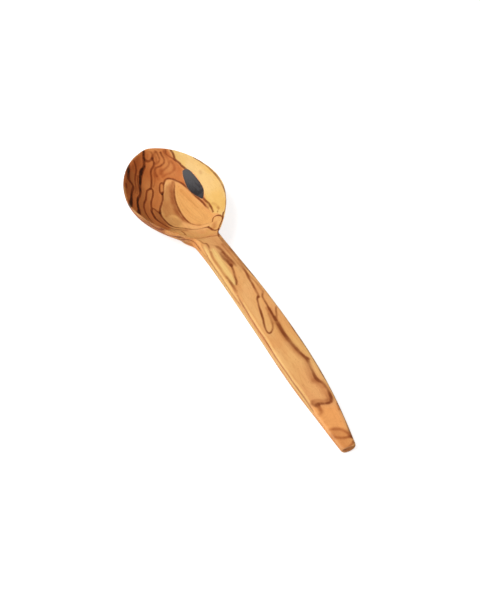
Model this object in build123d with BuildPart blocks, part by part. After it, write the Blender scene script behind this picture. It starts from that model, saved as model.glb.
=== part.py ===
from build123d import *
import os

# Wooden spoon carved from one board, with a resin-filled knot in the bowl's wall.
# Millimetres. +X runs from the bowl's tip to the handle's tail, +Y is across and +Z is up.
# Z = 0 is the table that the spoon lies on, and the origin is under the middle of its length.

# Overall sizes
overall_length = 300.0
bowl_length = 101.0
bowl_width = 69.0

# Heights of the carved top line above the table
tip_height = 23.8
rim_height = 20.5
neck_height = 20.6
arch_height = 22.8
tail_height = 5.6

# Hollow of the bowl
hollow_depth = 16.0
tip_rim = 1.6
side_rim = 1.2

# Handle
neck_width = 17.9
handle_width = 22.1
tail_width = 11.3
handle_thickness = 10.8
tail_thickness = 5.5
top_arris_radius = 1.6
under_arris_radius = 3.2
root_arris_radius = 7.0
tail_undercut = 1.2
tail_arris_radius = 1.2

# Knot fill
knot_length = 28.0
knot_width = 7.0
knot_depth = 2.2
knot_angle = 5.6
knot_from_tip = 34.6
knot_from_middle = 19.3

# How far cutting shapes reach past what they cut
overrun = 5.0

# Places along the spoon
tip_x = -overall_length / 2
neck_x = tip_x + bowl_length
tail_x = overall_length / 2
handle_length = tail_x - neck_x

# Bowl outline seen from above, tip to neck: shares of its length and of its half width
belly_share = 0.46
outline_shares = ((0.06, 0.4), (0.22, 0.8), (0.34, 0.945), (0.46, 1.0), (0.7, 0.82), (0.88, 0.5))
outer_end_shares = ((0.97, 0.26), (1.02, 0.0))
hollow_end_shares = ((0.94, 0.34), (0.985, 0.2), (1.0, 0.0))

# Outer wall of the bowl: share of the tip's height, and size of the outline there
wall_shares = (
    (-0.06, 0.1),
    (0.0, 0.34),
    (0.08, 0.52),
    (0.2, 0.68),
    (0.37, 0.825),
    (0.55, 0.912),
    (0.75, 0.972),
    (1.0, 1.0),
    (1.2, 1.01),
)

# Hollow: share of its depth, and size of the outline there
hollow_shares = (
    (0.0, 0.12),
    (0.06, 0.28),
    (0.19, 0.48),
    (0.4, 0.68),
    (0.65, 0.84),
    (1.0, 1.0),
    (1.2, 1.06),
)

hollow_length_share = 0.965

# Handle stations, neck to tail: share of its length, then how far its width, top line and
# thickness have come from their value at that end of the handle, 0, to their fullest, 1
widest_share = 0.62
arch_share = 0.3
station_shares = (
    (0.0, 0.0, 0.0, 1.0),
    (0.05, 0.0, 0.3, 1.0),
    (0.12, 0.1, 0.62, 1.0),
    (0.22, 0.36, 0.93, 1.0),
    (0.35, 0.67, 0.995, 0.995),
    (0.49, 0.89, 0.93, 0.93),
    (0.62, 1.0, 0.79, 0.79),
    (0.75, 0.88, 0.59, 0.59),
    (0.88, 0.52, 0.32, 0.32),
    (1.0, 0.0, 0.0, 0.0),
)

# Underside of the handle: its width as a share of the top's, up to the widest place and then
# at the tail, and its rounding's limit as a share of the thickness
under_share = 0.95
tail_under_share = 0.62
arris_limit_share = 0.4

# Root of the handle inside the bowl: share of the bowl's length before the neck, then width
# as a share of the neck's, and height of the underside as a share of the neck's
root_shares = ((0.28, 1.16, 0.46), (0.2, 1.45, 0.42), (0.13, 1.33, 0.57), (0.06, 1.05, 0.79))

# Outline of the knot, end to end: shares of its length and of its width
knot_far_shares = ((-0.44, -0.12), (-0.36, 0.27), (-0.04, 0.53), (0.2, 0.5), (0.56, -0.1))
knot_near_shares = ((0.56, -0.1), (0.2, -0.45), (-0.2, -0.42), (-0.44, -0.12))

tip_to_belly = belly_share * bowl_length
belly_x = tip_x + tip_to_belly
neck_under = neck_height - handle_thickness
rim_slope = (tip_height - neck_height) / bowl_length


def bowl_outline(end_shares, size_x, size_y, inset):
    """Points of half an outline from tip to neck, measured from the belly."""
    shares = ((0.0, 0.0),) + outline_shares + end_shares
    points = []
    for along, across in shares:
        x = (along - belly_share) * bowl_length
        if x < 0:
            x = x * (tip_to_belly - inset) / tip_to_belly
        points.append((size_x * x, size_y * across * bowl_width / 2))
    return points


def between(along, peak_share, share, at_neck, at_peak, at_tail):
    """Value that has come a share of the way from its end value to its peak."""
    end = at_neck if along < peak_share else at_tail
    return end + share * (at_peak - end)


def draw_section(x, width, under_width, top, thickness, arris_radius):
    """Section of the handle at x: flat top, tapered sides and rounded underside."""
    side = width / 2
    under = under_width / 2
    radius = min(arris_radius, arris_limit_share * thickness)
    with BuildSketch(Plane.YZ.offset(x)) as section:
        with BuildLine():
            FilletPolyline(
                (-side, top), (side, top), (under, top - thickness), (-under, top - thickness),
                radius=(top_arris_radius, top_arris_radius, radius, radius), close=True,
            )
        make_face()
    return section.sketch


with BuildPart() as hollow:
    # Space inside the bowl. Its levels lean with the rim, which is higher at the tip.
    for level_share, size in hollow_shares:
        height = rim_height - (1 - level_share) * hollow_depth
        level = Plane(
            origin=(belly_x, 0, height), x_dir=(1, 0, -rim_slope), z_dir=(rim_slope, 0, 1)
        )
        with BuildSketch(level):
            with BuildLine():
                size_y = size * (1 - 2 * side_rim / bowl_width)
                size_x = size * hollow_length_share
                half = bowl_outline(hollow_end_shares, size_x, size_y, tip_rim)
                other_half = [(x, -y) for x, y in half[-2:0:-1]]
                Spline(half + other_half, periodic=True)
            make_face()
    loft()

with BuildPart() as knot_fill:
    # A plug as deep as the pocket, with its top face flush with the hollow
    middle = (tip_x + knot_from_tip, knot_from_middle, 0)
    with BuildSketch(Plane(middle).rotated((0, 0, knot_angle))):
        with BuildLine():
            for shares in (knot_far_shares, knot_near_shares):
                Spline([(along * knot_length, across * knot_width) for along, across in shares])
        make_face()
    extrude(amount=tip_height)
    add(hollow.part.moved(Location((0, 0, -knot_depth))), mode=Mode.INTERSECT)
    add(hollow.part, mode=Mode.SUBTRACT)

with BuildPart() as handle:
    # Handle with its root, which is sunk in the bowl's wall
    sections = []
    for before, width_share, height_share in root_shares:
        x = neck_x - before * bowl_length
        thickness = rim_height - height_share * neck_under
        width = width_share * neck_width
        under = under_share * width
        sections.append(draw_section(x, width, under, rim_height, thickness, root_arris_radius))
    for along, wide, rise, thick in station_shares:
        x = neck_x + along * handle_length
        width = between(along, widest_share, wide, neck_width, handle_width, tail_width)
        under = width * between(
            along, widest_share, wide, under_share, under_share, tail_under_share
        )
        top = between(along, arch_share, rise, neck_height, arch_height, tail_height)
        thickness = tail_thickness + thick * (handle_thickness - tail_thickness)
        sections.append(draw_section(x, width, under, top, thickness, under_arris_radius))
    loft(sections)
    add(hollow.part, mode=Mode.SUBTRACT)
    # Tail, cut leaning so that its underside ends sooner than its top, with rounded edges
    cut = Plane((tail_x, 0, tail_height), x_dir=(0, 1, 0), z_dir=(tail_thickness, 0, -tail_undercut))
    split(bisect_by=cut, keep=Keep.BOTTOM)
    end_face = faces().sort_by(Axis.X)[-1]
    fillet(end_face.edges(), radius=tail_arris_radius)

with BuildPart() as spoon_body:
    # Outside of the bowl, from below the table up past the rim, cut flat to rest on the table
    for level_share, size in wall_shares:
        with BuildSketch(Plane((belly_x, 0, level_share * tip_height))):
            with BuildLine():
                edge = Spline(bowl_outline(outer_end_shares, size, size, 0))
                mirror(edge, about=Plane.XZ)
            make_face()
    loft()
    split(bisect_by=Plane.XY, keep=Keep.TOP)

    # Rim, carved to the dipping line seen from the side
    with BuildSketch(Plane.XZ):
        with BuildLine():
            dip = ThreePointArc(
                (tip_x, tip_height), (belly_x, rim_height), (neck_x + overrun, neck_height)
            )
            ceiling = 2 * tip_height
            Polyline(
                dip @ 1, (neck_x + overrun, ceiling), (tip_x - overrun, ceiling),
                (tip_x - overrun, tip_height), dip @ 0,
            )
        make_face()
    extrude(amount=bowl_width, both=True, mode=Mode.SUBTRACT)

    # Hollow, handle and the knot's pocket
    add(hollow.part, mode=Mode.SUBTRACT)
    add(handle.part)
    add(knot_fill.part, mode=Mode.SUBTRACT)

os.makedirs("parts", exist_ok=True)
spoon_body.part.label = "spoon_body"
export_step(spoon_body.part, "parts/spoon_body.step")
knot_fill.part.label = "knot_fill"
export_step(knot_fill.part, "parts/knot_fill.step")
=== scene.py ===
import math

import bmesh
import bpy
import numpy as np
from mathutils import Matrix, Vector
from mathutils.bvhtree import BVHTree


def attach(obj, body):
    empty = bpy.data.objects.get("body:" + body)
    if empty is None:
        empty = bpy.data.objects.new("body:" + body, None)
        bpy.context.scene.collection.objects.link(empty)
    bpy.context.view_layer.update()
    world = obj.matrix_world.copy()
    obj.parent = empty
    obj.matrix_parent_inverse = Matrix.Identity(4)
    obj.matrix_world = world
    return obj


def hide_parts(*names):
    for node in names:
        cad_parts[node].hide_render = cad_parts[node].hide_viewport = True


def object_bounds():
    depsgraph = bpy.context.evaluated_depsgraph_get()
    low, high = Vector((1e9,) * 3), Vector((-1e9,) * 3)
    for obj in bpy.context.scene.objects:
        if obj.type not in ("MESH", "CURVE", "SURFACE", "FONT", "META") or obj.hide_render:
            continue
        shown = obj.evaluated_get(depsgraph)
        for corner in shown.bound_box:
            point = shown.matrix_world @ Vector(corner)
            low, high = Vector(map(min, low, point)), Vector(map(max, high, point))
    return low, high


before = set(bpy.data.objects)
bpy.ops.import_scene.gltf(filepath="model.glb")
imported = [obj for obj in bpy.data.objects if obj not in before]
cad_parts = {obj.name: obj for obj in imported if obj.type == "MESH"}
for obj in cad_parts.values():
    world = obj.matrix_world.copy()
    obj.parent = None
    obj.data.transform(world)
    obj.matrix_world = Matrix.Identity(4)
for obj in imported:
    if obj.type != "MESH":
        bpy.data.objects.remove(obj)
cad_low, cad_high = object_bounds()

MM = 0.001

# Camera, as the photograph was taken
picture_width = 480
picture_height = 600
camera_azimuth = math.radians(63.84)
camera_elevation = math.radians(42.5)
camera_distance = 1400 * MM
camera_aim = Vector((9.2, -5.4, 14.0)) * MM
view_height = 390.2 * MM
sensor = 36.0

sin_a, cos_a = math.sin(camera_azimuth), math.cos(camera_azimuth)
sin_e, cos_e = math.sin(camera_elevation), math.cos(camera_elevation)
view_back = Vector((sin_a * cos_e, -cos_a * cos_e, sin_e))
view_right = Vector((cos_a, sin_a, 0.0))
view_up = view_back.cross(view_right)

camera_data = bpy.data.cameras.new("camera")
camera_data.sensor_width = sensor
camera_data.lens = sensor * camera_distance / view_height
camera_data.clip_start = 0.05
camera_data.clip_end = 20.0
camera = bpy.data.objects.new("camera", camera_data)
bpy.context.scene.collection.objects.link(camera)
camera.location = camera_aim + view_back * camera_distance
camera.rotation_mode = "QUATERNION"
camera.rotation_quaternion = (-view_back).to_track_quat("-Z", "Y")
bpy.context.scene.camera = camera


def pixel_ray(px, py):
    """Direction from the camera through a point of the picture."""
    per_pixel = view_height / picture_height
    side = (px - picture_width / 2) * per_pixel
    rise = (picture_height / 2 - py) * per_pixel
    return (view_right * side + view_up * rise - view_back * camera_distance).normalized()


# Dense surface of the whole spoon
voxel = 0.42 * MM


def new_object(name, mesh):
    piece = bpy.data.objects.new(name, mesh)
    bpy.context.scene.collection.objects.link(piece)
    return piece


def applied(piece):
    """The piece's mesh with its modifiers applied, in a new object that takes its place."""
    graph = bpy.context.evaluated_depsgraph_get()
    mesh = bpy.data.meshes.new_from_object(piece.evaluated_get(graph))
    piece.modifiers.clear()
    old = piece.data
    piece.data = mesh
    bpy.data.meshes.remove(old)
    return piece


def welded_copy(nodes, name):
    """One mesh with all the nodes' faces, joined along their edges."""
    shape = bmesh.new()
    for node in nodes:
        shape.from_mesh(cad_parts[node].data)
    bmesh.ops.remove_doubles(shape, verts=shape.verts, dist=0.001 * MM)
    mesh = bpy.data.meshes.new(name)
    shape.to_mesh(mesh)
    shape.free()
    return new_object(name, mesh)


def coordinates(mesh):
    flat = np.zeros(len(mesh.vertices) * 3, np.float32)
    mesh.vertices.foreach_get("co", flat)
    return flat.reshape(-1, 3).astype(float)


def set_coordinates(mesh, points):
    mesh.vertices.foreach_set("co", points.astype(np.float32).ravel())
    mesh.update()


def loops_of(mesh):
    """Vertex, edge and face of every face corner."""
    count = len(mesh.loops)
    corner_vertex = np.zeros(count, np.int32)
    corner_edge = np.zeros(count, np.int32)
    mesh.loops.foreach_get("vertex_index", corner_vertex)
    mesh.loops.foreach_get("edge_index", corner_edge)
    totals = np.zeros(len(mesh.polygons), np.int32)
    mesh.polygons.foreach_get("loop_total", totals)
    corner_face = np.repeat(np.arange(len(mesh.polygons)), totals)
    return corner_vertex, corner_edge, corner_face, totals


def gather(index, values, size):
    return np.stack([np.bincount(index, values[:, k], size) for k in range(3)], 1)


def unit(vectors):
    return vectors / np.maximum(np.linalg.norm(vectors, axis=1, keepdims=True), 1e-12)


def sand(mesh, normal_passes, fit_passes, edge_keep):
    """Evens out the facets of a dense mesh and keeps its real edges."""
    corner_vertex, corner_edge, corner_face, totals = loops_of(mesh)
    points = coordinates(mesh)
    faces = len(totals)
    normals = np.zeros(faces * 3, np.float32)
    mesh.polygons.foreach_get("normal", normals)
    normals = normals.reshape(-1, 3).astype(float)
    order = np.argsort(corner_edge, kind="stable")
    sorted_edges = corner_edge[order]
    first = np.flatnonzero(sorted_edges[1:] == sorted_edges[:-1])
    side_a = corner_face[order[first]]
    side_b = corner_face[order[first + 1]]
    for _ in range(normal_passes):
        gap = ((normals[side_a] - normals[side_b]) ** 2).sum(1)
        weight = np.exp(-gap / edge_keep**2)[:, None]
        total = normals + gather(side_a, weight * normals[side_b], faces)
        total += gather(side_b, weight * normals[side_a], faces)
        normals = unit(total)
    valence = np.bincount(corner_vertex, minlength=len(points))[:, None]
    for _ in range(fit_passes):
        centres = gather(corner_face, points[corner_vertex], faces) / totals[:, None]
        reach = centres[corner_face] - points[corner_vertex]
        along = (reach * normals[corner_face]).sum(1)[:, None]
        points = points + gather(corner_vertex, along * normals[corner_face], len(points)) / valence
    set_coordinates(mesh, points)


whole = welded_copy(("spoon_body", "knot_fill"), "spoon_wood")
remesh = whole.modifiers.new("remesh", "REMESH")
remesh.mode = "VOXEL"
remesh.voxel_size = voxel
applied(whole)
sand(whole.data, 60, 20, 0.35)
set_coordinates(whole.data, np.clip(coordinates(whole.data), cad_low, cad_high))
print("dense surface", len(whole.data.vertices))

whole.data.shade_smooth()

# Figure of the wood, and along the far and side edges some lines of painted shade. Each line has
# points of the picture, its width in picture points, how dark its middle is, and in blush how far
# its reddish edge reaches. It may also say how strong that edge is (red), how soft its middle's
# edge is in millimetres (soft) and how brown it makes the ground (tone, which browns below 0). A
# line with deep=False stays on the surface. A point may end with its own shares of the width and the
# darkness.
bowl_lines = {
    "left_edge": dict(width=3.4, dark=0.9, blush=3.0, soft=0.5, points=(
        (128.5, 164.5, 0.8, 0.7), (128.4, 168), (128.2, 172, 1.2), (128.2, 176, 1.2), (129, 179.4),
        (130.6, 182, 0.7, 0.9), (132.6, 185, 0.7, 0.8), (133.2, 187.6, 0.8, 0.8), (132, 191.3, 0.7, 0.8),
        (131.4, 195, 0.7, 0.8), (131.4, 199, 0.9), (131, 202.6, 1.3, 1.1), (130.6, 205.6, 1.3, 1.1))),
    "left_rim_blob": dict(width=2.4, dark=0.5, blush=1.5, deep=False, points=((126.2, 184), (126.6, 187.5))),
    "left_thin": dict(width=1.6, dark=0.5, blush=2.0, soft=0.5, points=(
        (134, 161), (135.4, 165), (136.2, 170), (135.4, 176), (135, 181), (135.8, 186),
        (136, 190, 0.8, 0.8), (135, 193, 0.7, 0.5))),
    "left_fine": dict(width=1.1, dark=0.28, blush=1.4, soft=0.6, points=(
        (137.8, 176), (137.4, 182), (138, 188), (137.2, 194))),
    "left_bold": dict(width=2.5, dark=0.86, blush=2.5, soft=0.5, points=(
        (143.3, 150, 0.7), (143.5, 152.5, 0.8), (143.4, 157, 0.8), (144, 162, 0.9), (144, 167, 1.0),
        (141.8, 171, 1.7, 1.1), (140.8, 174, 1.6, 1.1), (140.4, 180, 1.15), (139.9, 185), (140.3, 190),
        (139.9, 195, 0.9), (138, 198.5, 0.9), (137.6, 202, 0.8), (138, 206), (139, 210, 1.3),
        (139, 213.6, 1.8, 1.1))),
    "ring": dict(width=1.5, dark=0.34, blush=2.0, deep=False, soft=0.6, points=(
        (144.5, 155, 0.8, 0.7), (144.6, 158.5, 1.1), (146.5, 161, 1.6, 1.4), (149.5, 161, 1.4, 1.2),
        (152, 158.6, 1.5, 1.6), (152.3, 154.5, 0.9, 0.8), (150.5, 151.8, 0.8, 0.4), (147.6, 151.2, 0.8, 0.3),
        (145.3, 152.8, 0.8, 0.4))),
    "ring_middle": dict(width=2.4, dark=0.06, blush=2.0, soft=0.8, red=0.5, deep=False, points=(
        (147.4, 155), (147.2, 157.6))),
    "inner_left": dict(width=1.6, dark=0.55, blush=2.0, points=(
        (152.3, 158.4, 1.3), (153.8, 162.5, 0.8), (153.2, 166), (151.5, 169.5, 1.2), (150.8, 173),
        (151.3, 177), (151.5, 181), (151.3, 186), (150.5, 188.7), (147.6, 190.3), (146.6, 192.5),
        (146.3, 196), (145.8, 199.5), (144.3, 203), (144, 207), (144.8, 210), (146, 213.5),
        (148.5, 217.5), (151, 220.5), (154, 223.5, 0.8, 0.8), (158, 226, 0.6, 0.5))),
    "inner_fine": dict(width=1.1, dark=0.2, blush=1.5, soft=0.7, points=(
        (154.2, 163), (154.6, 168), (153.8, 173), (154.8, 178), (154.6, 183), (153.4, 187))),
    "inner_right": dict(width=1.6, dark=0.6, blush=1.6, points=(
        (150, 188.8), (151.8, 189), (152.9, 191), (153, 194), (152.3, 198), (151.3, 202),
        (151.3, 206), (151.8, 208.6, 1.4, 1.2), (151.6, 211, 1.4, 1.3), (152.7, 213.8, 1.4, 1.3),
        (154.5, 217, 1.5, 1.3), (157, 220, 1.7, 1.3), (160.6, 222.6, 1.6, 1.2), (165, 225.4, 1.5, 1.1),
        (169, 227.4, 1.4), (174, 229, 1.1, 0.8), (180, 229.8, 1.0, 0.5), (188, 230, 0.8, 0.3))),
    "inner_branch": dict(width=1.2, dark=0.42, blush=1.5, points=(
        (152.5, 208.3), (154.5, 209), (156.5, 211), (158.4, 212.2, 2.2, 0.9), (159.5, 213.6, 1.2))),
    "waves": dict(width=1.4, dark=0.34, blush=2.0, soft=0.6, points=(
        (160.4, 152.5), (161.7, 155), (163.3, 157.5), (164.2, 160), (163.8, 163), (161.7, 165),
        (160, 166.3), (157.5, 167), (155.8, 168.3), (155.2, 170.8), (155.6, 174.2), (157, 176.5))),
    "waves_inner": dict(width=1.4, dark=0.24, blush=1.5, soft=0.6, points=(
        (156.5, 152), (158, 155.5), (159.5, 159), (158.5, 162), (156.4, 164))),
    "waves_outer": dict(width=1.5, dark=0.18, blush=2.0, soft=0.8, points=(
        (163.5, 151), (166, 156.4), (168.5, 161), (168.6, 165.4), (165.4, 168.6), (162.5, 171))),
    "waves_low": dict(width=1.5, dark=0.14, blush=2.2, soft=1.2, points=(
        (171, 161), (174, 165.4), (174.2, 169.6), (170.6, 173), (166, 174.6), (162.6, 177))),
    "waves_near": dict(width=1.5, dark=0.2, blush=2.0, soft=0.7, points=(
        (155, 151), (154.6, 155), (156, 158.4), (156.2, 161.6), (154.4, 164))),
    "low_patch": dict(width=3.0, dark=0.0, blush=2.5, soft=1.2, tone=-0.1, points=((156, 176), (158, 179))),
    "spot_orange": dict(width=2.2, dark=0.0, blush=2.0, soft=0.8, tone=-0.1, red=0.3, deep=False, points=(
        (200.2, 171.6), (201, 173))),
    "spot_high": dict(width=1.6, dark=0.2, blush=1.8, soft=0.6, deep=False, points=(
        (217.6, 207), (218.8, 208.8))),
    "spot_low": dict(width=1.2, dark=0.24, blush=1.0, soft=0.5, deep=False, points=(
        (217.4, 211), (217.7, 211.8))),
    "spot_arc": dict(width=1.4, dark=0.03, blush=1.8, soft=0.8, red=0.35, deep=False, points=(
        (212.4, 203), (215.6, 204.6), (218.4, 207.4))),
    # painted shade: the far rim's outer rounding, darkened where it turns away from the light
    "rim_shade": dict(width=1.6, dark=0.4, blush=0.4, red=0.2, deep=False, points=(
        (174, 150), (182, 152), (190, 155.2), (198, 159.6), (205, 164.6), (210, 168.7), (215, 174),
        (219, 179.2), (222.4, 185), (225, 191.4), (226.2, 198), (226, 205), (224.6, 211.6))),
    "wave_patch": dict(width=2.6, dark=0.0, blush=2.5, tone=-0.35, points=((161, 170.5), (161.2, 173.5))),
    "eye_left": dict(width=1.4, dark=0.5, blush=1.0, points=(
        (163.6, 183.4), (161.5, 182.9), (159.9, 184.6), (159.6, 189), (160.1, 192.3), (162, 194.6))),
    "eye_right": dict(width=1.3, dark=0.45, blush=1.0, points=(
        (163.8, 183.6), (163.5, 188), (163.5, 192), (162.3, 194.6))),
    "eye_tail": dict(width=1.8, dark=0.56, blush=2.0, points=(
        (162.4, 192.5), (162.8, 196), (162.6, 200), (161.5, 204), (160.3, 208), (160.2, 212, 1.1, 1.1),
        (161, 215.5), (162.8, 218), (165.5, 221), (168.5, 224, 1.2), (170.5, 225.5, 1.5, 1.2),
        (174, 227, 1.1), (179, 227.8, 0.9, 0.8), (184, 228.2, 0.8, 0.6), (192, 229.4, 0.8, 0.55),
        (197, 229.2, 0.8, 0.5), (201, 228.5, 0.8, 0.5), (205, 227.5, 0.9, 0.7), (208.5, 226.8, 0.9, 0.9))),
    "arch": dict(width=1.6, dark=0.55, blush=1.8, points=(
        (163.4, 184.5, 0.9), (164.3, 182), (165.3, 180, 1.1), (167, 178.8), (169.5, 178.6), (172, 179),
        (174, 179.6, 1.1), (177, 181.2), (180, 182.4), (183, 184.2), (186, 186.8, 1.0, 0.8),
        (190, 190.5, 1.0, 0.9), (195, 195.4), (200, 199.8, 1.1), (203.2, 203), (205.6, 206, 1.0, 0.7),
        (208.6, 209, 0.8, 0.3))),
    "arch_upper": dict(width=1.8, dark=0.46, blush=1.6, points=(
        (203, 197.5, 0.8), (205.5, 200.5), (208.5, 203), (210.5, 206), (212, 209), (213.2, 211.8, 0.8))),
    "arch_between": dict(width=1.6, dark=0.06, blush=2.2, points=((203, 200), (206, 203.3), (209, 207))),
    "inner_arch": dict(width=4.4, dark=0.24, blush=2.2, soft=1.0, red=1.0, points=(
        (172.6, 182.4, 0.4), (171.8, 188, 0.9), (172.2, 195, 1.0), (173.4, 202, 1.05), (175.6, 208.4, 1.1),
        (178.6, 214, 1.1), (182, 218.4, 0.9), (186.4, 221.8, 0.6, 0.7), (192, 224, 0.4, 0.4),
        (200, 225, 0.4, 0.25))),
    "inner_arch_edge": dict(width=1.2, dark=0.36, blush=1.0, soft=0.4, points=(
        (174.4, 181.6, 0.7, 0.5), (174.6, 186), (174.2, 192), (175, 198), (176.4, 203.4), (178.6, 208.6),
        (181, 213), (184, 217.4), (187.4, 221), (190.8, 223.4, 1.0, 0.8), (195, 224.8, 1.0, 0.6),
        (200, 225.2, 1.0, 0.5), (206, 224, 1.0, 0.5), (211, 222.4, 0.8, 0.4))),
    "top_bold": dict(width=1.8, dark=0.52, blush=1.5, points=(
        (170.6, 149), (171, 150.5), (172.7, 153), (174, 156.5), (175, 159.5, 1.2), (177.5, 161.5),
        (179.8, 163.3), (181.5, 165.5), (184, 167.5), (186.3, 169.6))),
    "top_thin": dict(width=1.3, dark=0.3, blush=1.0, points=(
        (165.3, 149.5), (165.6, 151), (166.5, 154), (168.5, 156), (172, 158), (174.8, 160))),
    "golden_thread": dict(width=1.6, dark=0.07, blush=1.4, soft=1.2, red=0.2, points=(
        (181, 190), (186, 196), (192, 202), (198, 208), (203, 214), (206, 219))),
    "golden_thread_low": dict(width=1.6, dark=0.05, blush=1.4, soft=1.2, red=0.2, points=(
        (179, 198), (184, 206), (190, 213), (197, 218), (203, 221))),
    "neck_arch": dict(width=1.4, dark=0.42, blush=1.4, points=(
        (212.5, 221.5), (213, 218.5), (215, 216.3), (218, 215.3), (220.5, 215.6), (222.3, 217),
        (222.8, 219))),
    # painted shade along the neck's far edge, where its rounding turns away from the light
    "neck_rim_shade": dict(width=2.0, dark=0.56, blush=1.0, deep=False, points=(
        (223.2, 212.5), (222.6, 218), (221.3, 222), (219.8, 225.5), (218.6, 229), (218.3, 233),
        (218.8, 236.4, 0.8, 0.8))),
    "neck_mark": dict(width=1.6, dark=0.5, blush=1.5, points=(
        (208, 227), (210.5, 228.3), (212.5, 229.8, 1.2), (215.5, 230.3), (218, 229.2, 0.8, 0.7))),
    "neck_patch": dict(width=5.0, dark=0.05, blush=3.0, soft=1.2, red=0.7, points=(
        (214.6, 223.5), (214.2, 227.5))),
    "lip_short": dict(width=1.7, dark=0.18, blush=1.4, soft=0.7, deep=False, red=1.0, points=(
        (182, 231.5), (184.3, 233.2), (185.8, 235.2))),
    "ridge": dict(width=1.6, dark=0.14, blush=1.8, soft=0.8, red=1.0, points=(
        (195.5, 238.1), (200, 238.2), (204, 237.4), (208, 236.6), (213, 236), (217, 235.2))),
    "neck_edge_arch": dict(width=1.3, dark=0.3, blush=1.4, soft=0.5, points=(
        (196.5, 239.3, 0.7, 0.6), (200, 240.8), (203, 243.1), (206.3, 243.7, 1.2), (208.2, 245.7, 1.2),
        (209.2, 248.5, 1.0, 0.8), (210.3, 252, 1.0, 0.4))),
    "wall_upper": dict(width=1.5, dark=0.4, blush=2.2, deep=False, red=0.9, soft=0.5, points=(
        (147, 220.6, 0.8, 0.7), (150, 223.6, 1.0, 0.9), (153, 226.2), (156, 228), (159.5, 229.4, 1.5, 1.1),
        (162.6, 229, 1.8, 1.1), (165, 230, 0.8, 0.5))),
    "wall_middle": dict(width=1.4, dark=0.3, blush=1.6, deep=False, red=1.0, soft=0.5, points=(
        (164, 234, 0.6, 0.5), (168, 235.4, 1.1), (173, 236.2), (178, 237, 2.0, 1.1), (181, 237.4, 1.8, 0.9),
        (184, 238.4, 0.8, 0.7))),
    "wall_lower": dict(width=1.2, dark=0.3, blush=2.0, deep=False, red=1.0, soft=0.5, points=(
        (178, 238.2, 1.0, 0.7), (181.6, 239.8, 2.2, 1.0), (184.6, 239.6, 1.0), (188, 239.9), (191.5, 240.6),
        (194.3, 242.4), (196.5, 244.7), (198.6, 247.5), (200.5, 250, 1.0, 0.7))),
    "wall_patch": dict(width=3.2, dark=0.06, blush=2.5, soft=1.2, deep=False, red=0.8, points=(
        (181, 241), (186, 242.6), (192, 245))),
    "wall_thin": dict(width=1.0, dark=0.2, blush=1.6, deep=False, red=1.0, points=(
        (131, 209), (135, 214), (141, 219.5), (148, 225), (156, 231), (164, 235.6))),
    "wall_thin_low": dict(width=1.1, dark=0.16, blush=2.0, deep=False, red=0.9, points=(
        (128, 200), (131, 210), (137, 217.5), (145, 224.6), (153, 230.5))),
}

neck_lines = {
    "smudge_upper": dict(width=1.7, dark=0.28, blush=2.0, soft=1.4, red=0.7, points=(
        (211, 244.5, 0.4, 0.3), (214.5, 245.6, 0.6, 0.6), (217.2, 246.8, 1.2), (221, 249.6, 1.2),
        (224.3, 253.3, 1.2), (228, 257.3, 1.5), (231.8, 261.2, 1.4, 0.9), (236, 266, 0.7, 0.5))),
    "smudge_lower": dict(width=1.6, dark=0.3, blush=2.0, soft=1.3, red=0.7, points=(
        (217, 249.5, 0.6, 0.3), (220.4, 253.8, 0.8, 0.8), (223, 257.8), (226.6, 261, 1.4), (229.5, 264, 1.3),
        (231.5, 265.8))),
    "smudge_body": dict(width=3.6, dark=0.07, blush=2.4, soft=2.0, red=0.7, points=(
        (222, 252.5, 0.35), (225, 256.5, 0.7), (228.6, 260.4), (231.6, 263.8, 0.8))),
    "pale_right": dict(width=1.4, dark=0.3, blush=1.6, soft=0.7, points=(
        (231, 264.6), (232.5, 268.3), (233.8, 272), (235, 277), (236.4, 281, 1.2, 1.1),
        (236.5, 284.5, 1.0, 0.9))),
    "pale_left": dict(width=1.8, dark=0.04, blush=1.6, tone=-0.22, soft=1.0, points=(
        (210.8, 252), (212.5, 258), (216, 263), (219.5, 267.5), (222, 271.5), (225, 275.5), (227, 278))),
    "low_streak": dict(width=2.2, dark=0.26, blush=1.8, soft=0.8, points=(
        (226.4, 276.6, 0.5, 0.6), (228.6, 279.6, 0.7), (231, 283.3), (233.5, 287.4), (235.6, 291.3),
        (237.4, 295.4, 0.7, 0.5))),
    "right_line": dict(width=1.5, dark=0.26, blush=1.5, soft=0.7, red=0.8, points=(
        (238, 259, 0.7, 0.5), (242.5, 266, 0.8, 0.7), (246, 272), (248.5, 277.5), (252, 283), (254, 287),
        (256, 291), (257.8, 294.2), (258.4, 297, 1.8, 1.2))),
    # painted shade, soft, along the neck's far side
    "outer_edge_shade": dict(width=1.8, dark=0.1, blush=1.0, soft=1.0, deep=False, points=(
        (222, 244), (228, 251.5), (234, 258.5), (240, 265.5), (246, 272), (252, 278.3), (258, 284.8),
        (262, 290.5))),
    # painted shade: the thin dark line just under the neck's left arris, where the surface turns from the
    # light
    "left_arris_shade": dict(width=1.0, dark=0.18, blush=1.2, soft=0.5, deep=False, points=(
        (201.3, 244.5, 0.8, 0.6), (203, 248), (205, 252), (207.5, 256), (209, 259.5), (212, 264),
        (214.5, 268),
        (217.5, 272), (220.3, 276), (223.4, 280.6), (226.6, 285.6), (229.6, 290.2), (232.6, 294.6),
        (235.6, 298.6), (238.6, 302.8, 1.2, 1.1), (240.6, 305.2, 0.8, 0.6))),
    "left_thread_outer": dict(width=1.0, dark=0.1, blush=1.2, soft=0.6, deep=False, points=(
        (206, 256), (211, 263.5), (216, 271), (221, 278.5), (226, 286.5))),
}

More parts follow.
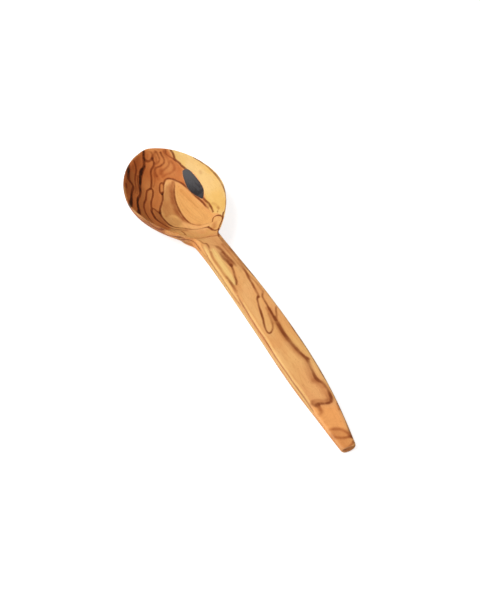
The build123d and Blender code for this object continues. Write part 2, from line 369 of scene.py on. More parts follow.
handle_lines = {
    "loop": dict(width=1.3, dark=0.4, blush=1.6, soft=0.45, red=0.8, points=(
        (258.2, 296.5, 1.4, 1.1), (257.3, 299, 1.1), (258, 302.5, 0.9, 0.9), (259, 306.5, 0.9, 0.9),
        (260.6, 311, 1.1), (261.8, 315, 1.3, 1.1), (263, 319, 1.3, 1.1), (263.8, 323, 1.2, 1.1),
        (264.8, 327), (266, 330, 0.9), (267.5, 332.3, 1.0, 1.1), (269, 333.2, 1.3, 1.2),
        (270.6, 332.6, 1.3, 1.1), (272, 330.5, 0.9, 0.8), (272.8, 327.5, 0.8, 0.7), (272.5, 324, 0.8, 0.6),
        (271.4, 320.6, 0.8, 0.5), (269.8, 317, 0.8, 0.4), (268.4, 313.6, 0.8, 0.3))),
    "loop_shade": dict(width=2.6, dark=0.05, blush=2.4, soft=1.2, points=(
        (267, 308), (269.4, 313), (271.4, 318), (273, 323))),
    "main_start": dict(width=1.5, dark=0.38, blush=1.2, soft=0.5, points=(
        (263, 291.5, 1.4, 0.6), (262.4, 296), (264, 299.5), (266, 303), (268, 306.6), (270, 310),
        (272, 313.5),
        (274, 317), (275.6, 320))),
    "main": dict(width=2.1, dark=0.42, blush=3.0, soft=1.0, red=0.75, points=(
        (274, 317, 0.6, 0.8), (275.8, 320, 0.8, 0.9), (277.8, 323, 1.0), (279.8, 326.5, 1.0), (281.6, 329.5),
        (284, 333.4, 1.1, 1.05), (287, 337.6, 1.2, 1.05), (290.2, 341.6, 1.2), (293, 345, 1.1, 0.9),
        (295.8, 348, 1.0, 0.9), (298.6, 351.2, 1.0, 0.85), (301.6, 354.2, 0.9, 0.85),
        (304.4, 356.6, 0.9, 0.9), (306.8, 358.4, 1.2, 1.1), (308.2, 361.2, 0.9, 0.9), (309.6, 364, 0.8, 0.8),
        (311, 367.2, 0.8, 0.8), (312.4, 370.6, 0.8, 0.85), (313.8, 374, 0.9, 0.95), (315.8, 377.6, 1.1, 0.95),
        (318.6, 380.4, 1.2, 0.9), (322.4, 382.8, 0.9, 0.85), (325.4, 386.2, 0.8, 0.8),
        (327.6, 389.4, 0.8, 0.8), (329.4, 392.8, 0.8, 0.85), (330.8, 396, 0.9, 0.9),
        (331.6, 399, 1.0, 0.95), (331.2, 401.4, 0.9), (329.2, 402.8, 0.7, 0.9),
        (326.6, 403.4, 0.7, 0.8), (323.6, 403.7, 0.7, 0.7), (320.6, 403.6, 0.8, 0.85),
        (318, 404.4, 1.1, 0.9), (315.6, 405.4, 1.1, 0.8), (312, 404.6, 0.9, 0.4))),
    "main_shade": dict(width=3.2, dark=0.06, blush=3.4, soft=1.4, red=0.6, points=(
        (269.6, 309, 0.6), (273, 316), (276.6, 323), (280, 330), (284, 336.6), (289, 343.4), (294, 349),
        (299.6, 354.8), (304, 359), (306.6, 364), (309, 370), (311, 376), (313.4, 381))),
    "main_belly": dict(width=4.0, dark=0.1, blush=3.0, soft=1.6, red=0.7, points=(
        (315, 379.6), (318.6, 383.6), (322.6, 387))),
    "main_node": dict(width=1.6, dark=0.2, blush=2.0, soft=0.8, points=((308, 358.2), (309.4, 358.8))),
    "branch": dict(width=1.3, dark=0.24, blush=1.4, soft=0.6, points=(
        (276.2, 306.6), (275.9, 310), (276.5, 314), (276.6, 317.6), (277, 320.4))),
    "hook_shade": dict(width=3.0, dark=0.1, blush=2.6, soft=1.6, points=(
        (313.6, 401.2), (318, 400.6), (323, 401), (328, 400.4))),
    "hook_shade_side": dict(width=3.0, dark=0.1, blush=3.0, soft=1.6, red=0.5, points=(
        (323.6, 391), (327, 395), (328.6, 399))),
    "hook_patch": dict(width=4.0, dark=0.1, soft=1.6, blush=2.4, red=0.5, points=(
        (312.4, 402.6), (315.6, 404), (317.6, 405.6))),
    "hook_branch": dict(width=2.6, dark=0.22, blush=2.4, soft=1.2, red=1.0, points=(
        (317.4, 405, 1.3, 1.2), (319, 407.4), (320.6, 410, 1.2), (321.4, 412, 1.1, 0.7),
        (319.6, 414.6, 0.8, 0.4))),
    # painted shade near the handle's far edge
    "edge_shade_patch": dict(width=2.2, dark=0.2, blush=1.6, soft=0.9, deep=False, points=(
        (337.2, 403.4), (338.6, 406.6), (339.4, 409.4))),
    # painted shade: the thin dark line on the side face just under the handle's left arris
    "left_side_shade": dict(width=1.1, dark=0.26, blush=1.1, soft=0.5, deep=False, red=0.8, points=(
        (237.6, 295.6, 0.8, 0.7), (239.6, 299.6), (241.6, 303), (243.6, 306.4), (245.8, 309.8), (248, 313.6),
        (250.2, 317.4), (252.6, 321.2), (255, 325), (257.6, 329), (260.2, 332.8), (263, 336.8),
        (265.2, 340.2),
        (267.6, 344), (270, 348), (272.4, 352), (275, 356), (277.6, 360), (280.3, 364), (283.2, 368.2),
        (286, 372), (288.7, 376), (291.3, 380), (293.8, 383.6), (296.4, 387.2), (299.2, 391), (302.6, 395.6),
        (305.6, 399.8), (308.2, 403.8), (311, 408), (313.4, 411.6, 0.8, 0.6))),
    # painted shade along the handle's far arris, which turns away from the light
    "right_edge_shade": dict(width=2.0, dark=0.38, blush=0.6, soft=0.5, red=0.05, deep=False, points=(
        (219.8, 237.6, 1.3, 0.6), (225.2, 243.6, 1.4, 0.7), (230.4, 249.2, 1.4, 0.8), (235, 254.8, 1.3, 0.8),
        (240.8, 260.8, 1.1, 0.9), (246.4, 267.2), (252.4, 274), (258.4, 280.6), (263.8, 286.6),
        (269, 293.2), (273.8, 299.8), (278.6, 306.6), (283.4, 313.4), (288.2, 320.4), (293, 327.8),
        (298, 335), (303.2, 342.6), (308.2, 350.4), (313.4, 358.6), (318.4, 367), (323.2, 375.4),
        (327.8, 382.6), (332.4, 390.4), (336.4, 398.4), (340.1, 406.6), (343.7, 415.4), (347.1, 424.4),
        (350.4, 433.2, 1.0, 0.7), (353, 439.8, 1.0, 0.5), (354.8, 444.6, 1.0, 0.4))),
    "tail_upper": dict(width=2.4, dark=0.1, blush=2.0, soft=1.4, red=1.0, deep=False, points=(
        (329.4, 430, 0.8, 0.6), (333, 429.2), (337, 428.8), (341, 429.4), (344.6, 431, 1.3),
        (347.6, 433, 1.4),
        (349.4, 435.4, 1.2))),
    "tail_lower": dict(width=2.2, dark=0.2, blush=1.8, soft=0.9, red=1.0, deep=False, points=(
        (332.6, 435.4, 0.8, 0.3), (335.6, 437.2, 1.0, 0.8), (340, 437.9), (345, 437.6), (349, 437),
        (351, 436.8, 1.2, 1.2))),
    "tail_orange": dict(width=2.2, dark=0.0, blush=2.6, red=0.5, deep=False, points=(
        (331.6, 434), (334, 437.4))),
    "end_ridge": dict(width=2.0, dark=0.2, blush=1.4, soft=0.8, red=1.0, deep=False, points=(
        (343.4, 450.4), (346.6, 448.6), (349.8, 446.4), (352, 443.8), (353, 442))),
    "end_shade": dict(width=4.2, dark=0.05, blush=1.6, soft=0.8, red=0.9, deep=False, points=(
        (346.6, 450.4), (350.6, 448.6), (354.6, 446.6))),
}

# Paler streaks beside the handle's lines, and painted highlights along the left arris, on the left side face
# and on the rim
pale_streaks = {
    # painted highlights along the handle's left arris, over paler streaks of the wood
    "left_upper_highlight": dict(width=1.8, pale=0.6, points=(
        (204, 247), (207, 252), (210.4, 257.6), (213.8, 263.6), (217.4, 269.2), (221, 274.6), (224.6, 280),
        (228.4, 286), (232, 291.4), (235.4, 296), (238.4, 300))),
    "left_outer_highlight": dict(width=1.8, pale=0.5, points=(
        (241, 305.6), (243.4, 310.4), (246.4, 315), (250, 321), (253.6, 326.4), (257, 331.6))),
    "left_inner_highlight": dict(width=1.8, pale=0.6, points=(
        (243.6, 303), (246.4, 307.6), (250.4, 314), (254, 319.8), (257.6, 325.4), (261.6, 331.2), (266, 338),
        (270.4, 345.4), (274.4, 352), (278.4, 358), (282.6, 364), (286.6, 370), (290.6, 376), (294.6, 381.4),
        (298.6, 386.6), (302.6, 392), (306.4, 397.6), (309.6, 402.6))),
    # painted light: brightens the handle's left side face, which the lamp lights less than the top, along a
    # paler streak of the wood
    "side": dict(width=3.6, pale=0.9, points=(
        (212, 266.5), (217, 273.5), (222, 280.5), (227, 288.5), (232, 297), (237, 304.5), (242, 311),
        (247, 318.5), (252, 326), (257, 333.5), (262, 341), (267, 348.6), (272, 355.4), (277, 362.6),
        (282, 369.5), (287, 376.6), (292, 383.6), (297, 389.8), (302, 397), (307, 404.6), (312, 411.8))),
    # painted highlights on the rim's edges lit from the left
    "rim_left_highlight": dict(width=1.8, pale=0.3, points=(
        (124.4, 187, 0.6), (125, 191), (126, 196), (127.4, 200, 0.7))),
    "rim_low_highlight": dict(width=2.0, pale=0.5, points=(
        (132, 207.6, 0.8), (134.6, 211), (138.6, 216, 0.8), (143, 219.8, 0.7))),
    "rim_high_highlight": dict(width=1.5, pale=0.4, points=(
        (128, 165), (131.4, 160.6), (135.4, 156.8), (139.4, 153.8))),
    "lens": dict(width=7.6, pale=1.0, points=(
        (213, 249.6, 0.5), (216.6, 255.6, 0.8), (220.6, 261.8), (224.6, 268), (228.8, 274.4, 0.95),
        (232.6, 280.6, 0.7), (234.6, 284, 0.4))),
    # painted highlight along the neck's left arris
    "lens_left_highlight": dict(width=3.0, pale=0.5, points=(
        (204.6, 245.6, 0.5), (206.4, 249.6), (208.6, 255), (211, 259.4, 0.5))),
}

# Grounds between the lines, as outlines in the picture
heart_outline = (
    (112, 150), (128, 138), (166, 138), (168, 150), (172, 157), (178, 163), (184, 170), (190, 176),
    (194, 184), (188, 188), (184, 185), (177, 181), (171, 178.5), (166.5, 179), (164, 183), (163, 194),
    (162, 202), (160, 208), (160, 213), (163, 219), (168, 225), (171, 227.6), (170, 229.4),
    (165, 229.8), (158, 229), (150, 226.4), (140, 220), (130, 212), (112, 210),
)
sapwood_outline = (
    (168, 138), (170, 150), (174, 158), (180, 163), (185, 169), (192, 171), (198, 178), (203, 187),
    (205, 197), (206, 203), (209, 209), (213, 213), (218, 213), (226, 216), (240, 216), (240, 138),
)
# Soft washes of another tone over the grounds, and at the neck a painted highlight and a painted shade: how
# soft each one's edge is in picture points, and how brown, reddish, olive, pale, golden or orange it makes
# them
washes = {
    "far_left": dict(soft=4.0, brown=0.36, outline=(
        (112, 172), (130, 170), (137, 176), (137, 190), (131, 196), (124, 192), (112, 190))),
    "far_left_top": dict(soft=3.0, brown=0.1, red=0.5, outline=(
        (118, 166), (130, 154), (140, 154), (141, 166), (136, 172), (124, 172))),
    "left_half": dict(soft=12.0, brown=0.03, outline=(
        (112, 138), (146, 138), (150, 160), (154, 180), (156, 205), (170, 228), (150, 240), (112, 230))),
    "low_heart": dict(soft=10.0, brown=0.03, outline=(
        (112, 176), (150, 172), (168, 178), (163, 194), (160, 210), (168, 226), (160, 228), (130, 212))),
    "left_strips": dict(soft=3.0, olive=0.5, outline=(
        (141.5, 184), (145, 190), (144, 206), (146, 214), (154, 225), (160, 229), (150, 226), (140, 216),
        (139.6, 200))),
    "between_legs": dict(soft=2.5, olive=0.3, outline=(
        (148, 192), (151, 194), (150, 206), (151, 216), (158, 225), (152, 221), (146, 210), (146.6, 200))),
    "right_strip": dict(soft=2.0, red=0.4, outline=(
        (154.6, 180), (158.6, 182), (159, 194), (161, 200), (158.6, 208), (153, 206), (154.6, 194))),
    "dark_corner": dict(soft=2.0, brown=0.18, olive=0.5, outline=(
        (153, 208), (158, 210), (161, 214), (168, 225), (163, 225), (156, 218))),
    "heart_end": dict(soft=5.0, brown=0.2, red=0.45, outline=(
        (160, 218), (168, 225), (176, 227.6), (188, 229.6), (188, 231), (172, 231), (158, 229))),
    "heart_right": dict(soft=5.0, pale=0.08, outline=(
        (166, 160), (174, 166), (180, 176), (178, 181), (170, 176), (164, 170))),
    "lip_orange": dict(soft=3.0, red=0.0, pale=0.0, orange=0.8, outline=(
        (162, 230), (168, 230.6), (178, 232.4), (182, 235), (176, 235.4), (168, 234))),
    "wall_orange": dict(soft=4.0, orange=0.7, red=0.0, outline=(
        (158, 230), (170, 234), (182, 236), (194, 238), (202, 246), (204, 256), (190, 250), (172, 242),
        (158, 235))),
    "arch_left": dict(soft=2.5, brown=0.15, red=0.7, outline=(
        (164, 194), (166, 186), (170, 183), (172, 190), (172.6, 199), (175, 208), (179, 214.6),
        (180, 217), (172, 215), (166, 217), (162, 212), (161, 206))),
    "arch_low": dict(soft=3.0, olive=0.22, red=0.3, brown=0.04, outline=(
        (162, 215), (170, 216), (177, 218), (184, 221), (178, 227), (168, 224))),
    "golden": dict(soft=4.0, brown=0.05, golden=0.4, outline=(
        (176, 184), (184, 188), (192, 195), (204, 206), (212, 213), (213, 222), (200, 226), (188, 222),
        (178, 208), (174, 195))),
    "neck_top": dict(soft=5.0, red=0.32, outline=(
        (186, 231), (204, 229), (217, 226), (218, 236), (230, 252), (220, 250), (206, 248), (194, 240))),
    # painted highlight along the neck's left arris
    "neck_left_highlight": dict(soft=3.0, pale=0.35, outline=(
        (207, 254), (212, 259), (221, 272), (232, 289), (226, 285), (214, 270))),
    # painted shade on the neck's far side
    "neck_right_shade": dict(soft=3.0, brown=0.04, olive=0.22, outline=(
        (221, 240), (226, 243), (244, 262), (248, 270), (240, 272), (230, 256), (220, 246))),
    "handle_low": dict(soft=8.0, pale=0.16, outline=(
        (284, 350), (300, 356), (312, 378), (326, 400), (318, 402), (300, 388), (284, 366))),
    "top_sap": dict(soft=6.0, pale=0.25, outline=(
        (178, 152), (196, 158), (206, 168), (200, 172), (186, 164))),
    "tail": dict(soft=4.0, red=0.42, outline=((324, 432), (336, 427), (352, 429), (360, 450), (342, 456))),
    "tail_bright": dict(soft=5.0, orange=0.7, outline=(
        (312, 408), (338, 400), (352, 430), (360, 452), (342, 456), (326, 432))),
}

# Outline of the knot in the picture
knot_outline = (
    (182.4, 171), (184.6, 169.2), (187.6, 169.1), (190.6, 171), (193.2, 173.8), (195.8, 176.8),
    (198.2, 179.8), (200.4, 182.8), (202.3, 186), (203.6, 189.4), (203.8, 193), (203.4, 196.6),
    (202.4, 198.8), (199.8, 197.8), (196.4, 195.8), (193, 193.6), (190, 191), (187.6, 187.8),
    (185.7, 184.2), (184.2, 180), (182.9, 175.6),
)

# Wood is cut through by the figure, so on sides that the picture doesn't show a line goes on
# below the place where it shows, leaning a little
edge_softness = 0.35
hidden_softness = 12.0
# painted warm bounce light in the shade of sides away from the camera
painted_bounce_warmth = 0.5
hidden_sapwood = 0.3
heart_softness = 1.5
sapwood_softness = 1.2
usual_red = 0.55
ring_reach = 30 * MM
shown_from = -0.05
shown_span = 0.25
steep_normal = 0.2
edge_bend_from = 90
edge_bend_span = 260
lean_x = 0.35
lean_y = -0.2
point_size = view_height / picture_height
rim_level = 20.5 * MM
curve_steps = 4
silhouette_reach = 1.5 * MM
tone_names = ("red", "pale", "brown", "olive", "golden", "orange")

surface = BVHTree.FromPolygons(
    coordinates(whole.data).tolist(), [tuple(f.vertices) for f in whole.data.polygons]
)


def shown_point(px, py):
    """Place and normal on the spoon that a point of the picture shows, or None beside it."""
    hit, normal, _, _ = surface.ray_cast(camera.location, pixel_ray(px, py))
    if hit is None:
        hit, normal, _, _ = surface.find_nearest(level_point(px, py), silhouette_reach)
    return hit, normal


def level_point(px, py):
    """Place where the view through a point of the picture meets the rim's level."""
    ray = pixel_ray(px, py)
    return camera.location + ray * ((rim_level - camera.location.z) / ray.z)


def flatten(points):
    """Plan coordinates of places in the wood, along its lean."""
    return np.stack(
        [points[:, 0] - lean_x * points[:, 2], points[:, 1] - lean_y * points[:, 2]], 1
    )


def smooth_line(points):
    """Points of a line, rounded between its given ones, each with its two shares."""
    rows = np.array([(*point, 1.0, 1.0)[:4] for point in points])
    padded = np.vstack([2 * rows[0] - rows[1], rows, 2 * rows[-1] - rows[-2]])
    made = []
    for a, b, c, d in zip(padded[:-3], padded[1:-2], padded[2:-1], padded[3:]):
        for k in range(curve_steps):
            t = k / curve_steps
            bend = (2 * a - 5 * b + 4 * c - d) * t**2 + (3 * b - a - 3 * c + d) * t**3
            made.append(0.5 * (2 * b + (c - a) * t + bend))
    made.append(rows[-1])
    return np.array(made)


def distance_to_line(places, line, shares):
    """Distance of every place to a line of points, and the line's shares there."""
    best = np.full(len(places), 1e9)
    there = np.ones((len(places), shares.shape[1]))
    for a, b, share_a, share_b in zip(line[:-1], line[1:], shares[:-1], shares[1:]):
        step = b - a
        t = np.clip((places - a) @ step / max(step @ step, 1e-18), 0, 1)
        gap = np.linalg.norm(places - (a + t[:, None] * step), axis=1)
        nearer = gap < best
        best[nearer] = gap[nearer]
        there[nearer] = (share_a + t[:, None] * (share_b - share_a))[nearer]
    return best, there


def fade(x):
    """Smooth step from 0 to 1."""
    x = np.clip(x, 0, 1)
    return x * x * (3 - 2 * x)


def inside(outline, places, softness):
    """1 inside an outline, 0 outside, with a soft edge."""
    edge = np.array(outline)
    nearest, _ = distance_to_line(places, np.vstack([edge, edge[:1]]), np.ones((len(edge) + 1, 1)))
    x, y = places[:, 0], places[:, 1]
    within = np.zeros(len(places), bool)
    for (ax, ay), (bx, by) in zip(edge, np.roll(edge, -1, 0)):
        crossing = (ay > y) != (by > y)
        at = ax + (y - ay) * (bx - ax) / (by - ay if by != ay else 1e-18)
        within ^= crossing & (x < at)
    return fade(0.5 + np.where(within, nearest, -nearest) / (2 * softness))


def store(mesh, name, values):
    """Keeps one number for each point of a mesh."""
    layer = mesh.attributes.new(name, "FLOAT", "POINT")
    layer.data.foreach_set("value", values.astype(np.float32))


def add_over(total, near, amount):
    """Adds an amount to a share of 1 that other amounts already cover in part."""
    total[near] = 1 - (1 - total[near]) * (1 - amount)


def ground_share(outline, plan, shown, softness):
    """How far each place is inside a ground's outline, more softly on sides that don't show."""
    corners = []
    for px, py in outline:
        hit, normal = shown_point(px, py)
        if hit is None or normal.z < steep_normal:
            hit = level_point(px, py)
        corners.append(hit)
    course = flatten(np.array(corners))
    crisp = inside(course, plan, softness * point_size)
    soft = inside(course, plan, max(softness, hidden_softness) * point_size)
    return shown * crisp + (1 - shown) * soft


def draw_lines(drawn_lines, places, shown, plan, draw, deep=True):
    """Calls draw for the places near each line, where it shows and where it goes on below.

    A line that isn't deep stays on the surface near its course.
    """
    for name, line in drawn_lines.items():
        drawn = smooth_line(line["points"])
        hits = [(shown_point(row[0], row[1])[0], row[2:]) for row in drawn]
        hits = [(hit, shares) for hit, shares in hits if hit is not None]
        if len(hits) < 2:
            print("line beside the spoon:", name)
            continue
        course = np.array([hit for hit, _ in hits])
        shares = np.array([pair for _, pair in hits])
        half = line["width"] * point_size / 2
        reach = half * shares[:, 0].max() + line.get("blush", line["width"]) * point_size
        passes = [(shown, places, course), (1 - shown, plan, flatten(course))]
        if not line.get("deep", deep):
            passes = [(np.ones(len(places)), places, course)]
        for scale, where, path in passes:
            near = ((where > path.min(0) - 2 * reach) & (where < path.max(0) + 2 * reach)).all(1)
            near &= scale > 0.01
            if near.any():
                gap, there = distance_to_line(where[near], path, shares)
                draw(line, near, gap, half * there[:, 0], there[:, 1], scale[near])


def paint(mesh):
    """Stores the figure on a mesh, with painted shade, highlights and warm bounce: how dark and how toned it
    is, and its grounds.
    """
    places = coordinates(mesh)
    normals = np.zeros(len(places) * 3, np.float32)
    mesh.vertices.foreach_get("normal", normals)
    facing = normals.reshape(-1, 3).astype(float) @ np.array(view_back)
    shown = fade((facing - shown_from) / shown_span)
    plan = flatten(places)
    tones = {tone: np.zeros(len(places)) for tone in tone_names}
    dark = np.zeros(len(places))
    nearest = np.full(len(places), ring_reach)

    def draw_dark(line, near, gap, half, depth, scale):
        core = fade(1 - (gap - 0.5 * half) / (0.9 * half + line.get("soft", edge_softness) * MM))
        blush = fade(1 - gap / (half + line["blush"] * point_size))
        add_over(dark, near, np.clip(line["dark"] * depth, 0, 1) * core * scale)
        add_over(tones["red"], near, line.get("red", usual_red) * np.minimum(depth, 1) * blush * scale)
        add_over(tones["brown"], near, -line.get("tone", 0) * blush * scale)
        nearest[near] = np.minimum(nearest[near], gap)

    def draw_pale(line, near, gap, half, depth, scale):
        add_over(tones["pale"], near, line["pale"] * depth * fade(1.2 - gap / (half + 0.3 * MM)) * scale)

    for drawn_lines in (bowl_lines, neck_lines, handle_lines):
        draw_lines(drawn_lines, places, shown, plan, draw_dark)
    draw_lines(pale_streaks, places, shown, plan, draw_pale, deep=False)
    for wash in washes.values():
        share = ground_share(wash["outline"], plan, shown, wash["soft"])
        for tone in tone_names:
            add_over(tones[tone], slice(None), wash.get(tone, 0) * share)
    # Painted warm bounce light: sides away from the camera are made more orange
    add_over(tones["orange"], slice(None), painted_bounce_warmth * (1 - shown))
    sapwood = ground_share(sapwood_outline, plan, shown, sapwood_softness)
    # Painted warm bounce light too: less pale sapwood yellow is kept on sides away from the camera
    sapwood_kept = hidden_sapwood + (1 - hidden_sapwood) * shown
    for name, values in (
        *tones.items(),
        ("dark", dark),
        ("ring", nearest / MM),
        ("heart", ground_share(heart_outline, plan, shown, heart_softness)),
        ("sapwood", sapwood_kept * sapwood),
        ("edge", convexity(mesh)),
    ):
        store(mesh, name, values)


def convexity(mesh):
    """How sharply the surface bends outwards at each point, from 0 to 1 on a sharp edge."""
    places = coordinates(mesh)
    normals = np.zeros(len(places) * 3, np.float32)
    mesh.vertices.foreach_get("normal", normals)
    normals = normals.reshape(-1, 3).astype(float)
    ends = np.zeros(len(mesh.edges) * 2, np.int32)
    mesh.edges.foreach_get("vertices", ends)
    a, b = ends.reshape(-1, 2).T
    step = places[b] - places[a]
    bend = ((normals[b] - normals[a]) * step).sum(1) / np.maximum((step * step).sum(1), 1e-12)
    count = np.bincount(a, minlength=len(places)) + np.bincount(b, minlength=len(places))
    total = np.bincount(a, bend, len(places)) + np.bincount(b, bend, len(places))
    return fade((total / np.maximum(count, 1) - edge_bend_from) / edge_bend_span)


# Knot fill, a plug in a pocket of the hollow's wall: the body is cut by its prism, and the fill
# is what the prism holds, so the two meet without a gap
knot_depth = 2.2 * MM
knot_reach = 12 * MM


def knot_prism():
    """Upright prism on the knot's outline, its underside a knot's depth under the surface."""
    rows = smooth_line(knot_outline + knot_outline[:1])[:-1]
    rim = [shown_point(row[0], row[1])[0] for row in rows]
    middle = sum(rim, Vector()) / len(rim)
    middle = surface.ray_cast(middle + Vector((0, 0, knot_reach)), Vector((0, 0, -1)))[0]
    shape = bmesh.new()
    rings = []
    for rise in (-knot_depth, knot_reach):
        rings.append([shape.verts.new(place + Vector((0, 0, rise))) for place in rim])
        centre = shape.verts.new(middle + Vector((0, 0, rise)))
        ring = rings[-1] if rise > 0 else rings[-1][::-1]
        for a, b in zip(ring, ring[1:] + ring[:1]):
            shape.faces.new((a, b, centre))
    low, high = rings
    for k in range(len(low)):
        after = (k + 1) % len(low)
        shape.faces.new((low[k], low[after], high[after], high[k]))
    bmesh.ops.recalc_face_normals(shape, faces=shape.faces)
    mesh = bpy.data.meshes.new("knot_prism")
    shape.to_mesh(mesh)
    shape.free()
    return new_object("knot_prism", mesh)


def cut_with(piece, cutter, operation):
    cut = piece.modifiers.new("cut", "BOOLEAN")
    cut.operation = operation
    cut.object = cutter
    cut.solver = "EXACT"
    applied(piece)
    piece.data.shade_smooth()
    piece.data.set_sharp_from_angle(angle=math.radians(40))


prism = knot_prism()
knot = new_object("knot_resin", whole.data.copy())
knot.data.name = "knot_resin"
cut_with(knot, prism, "INTERSECT")
cut_with(whole, prism, "DIFFERENCE")
bpy.data.objects.remove(prism)
print("body", len(whole.data.vertices), "knot", len(knot.data.vertices))
paint(whole.data)


# Materials
def srgb(red, green, blue):
    """Colour from values of 0 to 255 as seen on a screen."""
    made = []
    for value in (red, green, blue):
        v = value / 255
        made.append(v / 12.92 if v <= 0.04045 else ((v + 0.055) / 1.055) ** 2.4)
    return (*made, 1.0)


class Paint:
    """A material's nodes, made one after another."""

    def __init__(self, name):
        self.material = bpy.data.materials.new(name)
        self.material.use_nodes = True
        self.tree = self.material.node_tree
        self.shader = self.tree.nodes["Principled BSDF"]

    def link(self, value, socket):
        if isinstance(value, (int, float, tuple)):
            socket.default_value = value
        else:
            self.tree.links.new(value, socket)

    def math(self, operation, a, b=0.0):
        node = self.tree.nodes.new("ShaderNodeMath")
        node.operation = operation
        self.link(a, node.inputs[0])
        self.link(b, node.inputs[1])
        return node.outputs[0]

    def attribute(self, name):
        node = self.tree.nodes.new("ShaderNodeAttribute")
        node.attribute_name = name
        return node.outputs["Fac"]

    def place(self, scale, turn=0.0):
        """Coordinates on the object, stretched by a scale along each axis."""
        spot = self.tree.nodes.new("ShaderNodeTexCoord")
        node = self.tree.nodes.new("ShaderNodeMapping")
        node.inputs["Scale"].default_value = scale
        node.inputs["Rotation"].default_value = (0, 0, math.radians(turn))
        self.tree.links.new(spot.outputs["Object"], node.inputs["Vector"])
        return node.outputs[0]

    def noise(self, where, detail=3.0, roughness=0.55, warp=0.0):
        node = self.tree.nodes.new("ShaderNodeTexNoise")
        node.inputs["Scale"].default_value = 1.0
        node.inputs["Detail"].default_value = detail
        node.inputs["Roughness"].default_value = roughness
        node.inputs["Distortion"].default_value = warp
        self.tree.links.new(where, node.inputs["Vector"])
        return node.outputs["Fac"]

    def span(self, value, low, high, to_low=0.0, to_high=1.0):
        node = self.tree.nodes.new("ShaderNodeMapRange")
        node.interpolation_type = "SMOOTHSTEP"
        names = ("From Min", "From Max", "To Min", "To Max")
        for socket, number in zip(names, (low, high, to_low, to_high)):
            node.inputs[socket].default_value = number
        self.tree.links.new(value, node.inputs["Value"])
        return node.outputs[0]

    def mix(self, share, a, b):
        node = self.tree.nodes.new("ShaderNodeMix")
        node.data_type = "RGBA"
        self.link(share, node.inputs["Factor"])
        self.link(a, node.inputs["A"])
        self.link(b, node.inputs["B"])
        return node.outputs["Result"]

    def bump(self, height, distance, strength):
        node = self.tree.nodes.new("ShaderNodeBump")
        node.inputs["Distance"].default_value = distance
        node.inputs["Strength"].default_value = strength
        self.tree.links.new(height, node.inputs["Height"])
        self.tree.links.new(node.outputs[0], self.shader.inputs["Normal"])


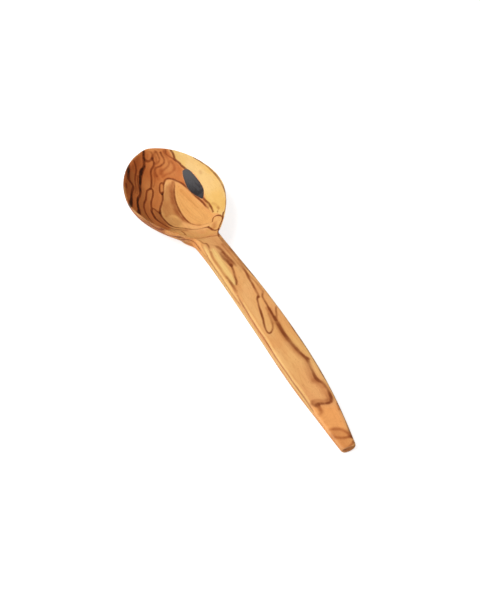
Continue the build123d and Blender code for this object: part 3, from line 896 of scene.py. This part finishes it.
def olive_wood():
    """Oiled olive wood: pale sapwood, golden ground and orange heart, with dark figure."""
    p = Paint("olive_wood")
    fibre = p.noise(p.place((60, 420, 420), 4), 4.0, 0.6)
    fine = p.noise(p.place((220, 1900, 1900), 3), 2.0, 0.6)
    pores = p.noise(p.place((350, 3200, 3200), 3), 1.0, 0.5)
    cloud = p.noise(p.place((24, 55, 55)), 3.0, 0.5, 0.6)
    blotch = p.noise(p.place((14, 38, 38), 8), 2.0, 0.5, 0.4)
    ragged = p.noise(p.place((500, 900, 900)), 2.0, 0.5)
    uneven = p.noise(p.place((110, 150, 150), 20), 2.0, 0.5)
    heart = p.attribute("heart")
    sapwood = p.attribute("sapwood")

    # Grounds, each with its own soft clouds
    color = p.mix(p.span(cloud, 0.34, 0.66), srgb(241, 173, 105), srgb(249, 190, 121))
    color = p.mix(p.span(blotch, 0.5, 0.64, 0.0, 0.6), color, srgb(243, 168, 108))
    color = p.mix(p.span(blotch, 0.36, 0.48, 0.6, 0.0), color, srgb(243, 190, 112))
    heart_color = p.mix(p.span(cloud, 0.35, 0.65), srgb(205, 117, 60), srgb(221, 141, 78))
    color = p.mix(heart, color, heart_color)
    sap_color = p.mix(p.span(cloud, 0.35, 0.65), srgb(241, 195, 110), srgb(247, 209, 140))
    color = p.mix(sapwood, color, sap_color)
    color = p.mix(p.attribute("golden"), color, srgb(240, 172, 84))
    color = p.mix(p.attribute("orange"), color, srgb(255, 172, 96))
    color = p.mix(p.attribute("olive"), color, srgb(166, 108, 58))
    color = p.mix(p.attribute("brown"), color, srgb(120, 56, 22))
    color = p.mix(p.attribute("pale"), color, srgb(255, 208, 130))

    # Fibres, pores and faint growth rings that follow the figure
    quiet = p.math("SUBTRACT", 0.8, p.math("MULTIPLY", sapwood, 0.45))
    hatch = p.math("MULTIPLY", p.span(fibre, 0.42, 0.74, 0.0, 0.22), quiet)
    color = p.mix(hatch, color, srgb(182, 104, 54))
    color = p.mix(p.math("MULTIPLY", p.span(fine, 0.5, 0.78, 0.0, 0.16), quiet), color, srgb(158, 88, 42))
    color = p.mix(p.span(pores, 0.66, 0.76, 0.0, 0.35), color, srgb(120, 62, 30))
    wander = p.math("MULTIPLY", cloud, 14.0)
    rings = p.math("SINE", p.math("ADD", p.math("MULTIPLY", p.attribute("ring"), 3.1), wander))
    thin = p.math("MULTIPLY", p.span(rings, 0.4, 1.0, 0.0, 0.09), quiet)
    thin = p.math("ADD", thin, p.math("MULTIPLY", p.attribute("golden"), p.span(rings, 0.2, 1.0, 0.0, 0.11)))
    color = p.mix(thin, color, srgb(168, 92, 42))

    # Figure: reddish margin, brown line and a darker core
    red = p.math("MULTIPLY", p.attribute("red"), p.span(uneven, 0.2, 0.7, 0.7, 1.0))
    color = p.mix(p.math("MULTIPLY", red, 0.8), color, srgb(170, 80, 34))
    line = p.math("MULTIPLY", p.attribute("dark"), p.span(uneven, 0.3, 0.7, 0.75, 1.15))
    line = p.math("MULTIPLY", line, p.span(fibre, 0.3, 0.7, 0.78, 1.2))
    line = p.math("ADD", line, p.math("MULTIPLY", p.math("SUBTRACT", ragged, 0.5), 0.08))
    color = p.mix(p.span(line, 0.04, 0.5, 0.0, 0.86), color, srgb(126, 58, 25))
    color = p.mix(p.span(line, 0.48, 0.95, 0.0, 0.92), color, srgb(50, 24, 13))

    # Convex edges are a little paler and smoother: painted highlight along the arrises, and wear from hands
    wear_and_highlight = p.math("MULTIPLY", p.attribute("edge"), p.span(cloud, 0.3, 0.7, 0.5, 1.0))
    color = p.mix(p.math("MULTIPLY", wear_and_highlight, 0.18), color, srgb(250, 214, 160))
    p.link(color, p.shader.inputs["Base Color"])
    rough = p.span(fibre, 0.3, 0.7, 0.50, 0.62)
    p.link(p.math("SUBTRACT", rough, p.math("MULTIPLY", wear_and_highlight, 0.1)), p.shader.inputs["Roughness"])
    p.shader.inputs["Specular IOR Level"].default_value = 0.08
    grain = p.math("ADD", p.math("MULTIPLY", fibre, 0.6), p.math("MULTIPLY", fine, 0.4))
    p.bump(p.math("SUBTRACT", grain, p.span(pores, 0.66, 0.76, 0.0, 0.5)), 0.06 * MM, 0.5)
    return p.material


def knot_resin():
    """Dark slate resin, sanded flush and oiled with the wood, browner where it is thin."""
    p = Paint("knot_resin")
    cloud = p.noise(p.place((150, 280, 280)), 4.0, 0.62, 0.8)
    grit = p.noise(p.place((1400, 1400, 1400)), 2.0, 0.6)
    color = p.mix(p.span(cloud, 0.36, 0.62), srgb(38, 33, 35), srgb(60, 58, 61))
    color = p.mix(p.span(grit, 0.55, 0.75, 0.0, 0.3), color, srgb(32, 25, 25))
    rim = p.attribute("rim")
    color = p.mix(p.math("MULTIPLY", rim, p.span(cloud, 0.35, 0.6, 0.4, 0.9)), color, srgb(62, 36, 31))
    p.link(color, p.shader.inputs["Base Color"])
    p.link(p.span(cloud, 0.3, 0.7, 0.36, 0.5), p.shader.inputs["Roughness"])
    p.shader.inputs["Specular IOR Level"].default_value = 0.3
    p.bump(grit, 0.02 * MM, 0.4)
    return p.material


def finish_piece(piece, material, node):
    piece.data.materials.clear()
    piece.data.materials.append(material)
    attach(piece, "root")
    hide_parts(node)


knot_edge = np.array([shown_point(row[0], row[1])[0] for row in smooth_line(knot_outline + knot_outline[:1])])
knot_gap, _ = distance_to_line(coordinates(knot.data)[:, :2], knot_edge[:, :2], np.ones((len(knot_edge), 1)))
store(knot.data, "rim", fade(1 - knot_gap / (1.1 * MM)))
finish_piece(whole, olive_wood(), "spoon_body")
finish_piece(knot, knot_resin(), "knot_fill")

# Floor, white to the camera, with the spoon's soft shadow
floor_size = 6.0
floor_drop = 0.02 * MM
floor_glow = 0.75
half_floor = floor_size / 2
floor_mesh = bpy.data.meshes.new("floor")
corners = [(-half_floor, -half_floor, 0), (half_floor, -half_floor, 0), (half_floor, half_floor, 0),
           (-half_floor, half_floor, 0)]
floor_mesh.from_pydata(corners, [], [(0, 1, 2, 3)])
floor = new_object("floor", floor_mesh)
floor.location.z = -floor_drop
floor_paint = Paint("floor")
floor_paint.shader.inputs["Base Color"].default_value = (0.65, 0.65, 0.65, 1)
floor_paint.shader.inputs["Roughness"].default_value = 0.9
rays = floor_paint.tree.nodes.new("ShaderNodeLightPath").outputs
seen = floor_paint.math("MAXIMUM", rays["Is Camera Ray"], rays["Is Glossy Ray"])
seen = floor_paint.math("MAXIMUM", seen, rays["Is Transmission Ray"])
floor_paint.shader.inputs["Emission Color"].default_value = (1, 1, 1, 1)
glow = floor_paint.math("MULTIPLY", seen, floor_glow)
floor_paint.link(glow, floor_paint.shader.inputs["Emission Strength"])
floor_mesh.materials.append(floor_paint.material)

# Light: an even white room and one large soft lamp from the left
room_strength = 0.32
key_direction = Vector((0.0, -0.95, 1.3)).normalized()
key_distance = 3.0
key_size = 2.2
key_power = 74.0

world = bpy.data.worlds.new("world")
bpy.context.scene.world = world
world.use_nodes = True
world.node_tree.nodes["Background"].inputs["Color"].default_value = (1, 1, 1, 1)
world.node_tree.nodes["Background"].inputs["Strength"].default_value = room_strength

key_data = bpy.data.lights.new("key", "AREA")
key_data.shape = "DISK"
key_data.size = key_size
key_data.energy = key_power
key = new_object("key", key_data)
key.location = key_direction * key_distance
key.rotation_mode = "QUATERNION"
key.rotation_quaternion = key_direction.to_track_quat("Z", "Y")

bpy.context.scene.view_settings.view_transform = "Standard"
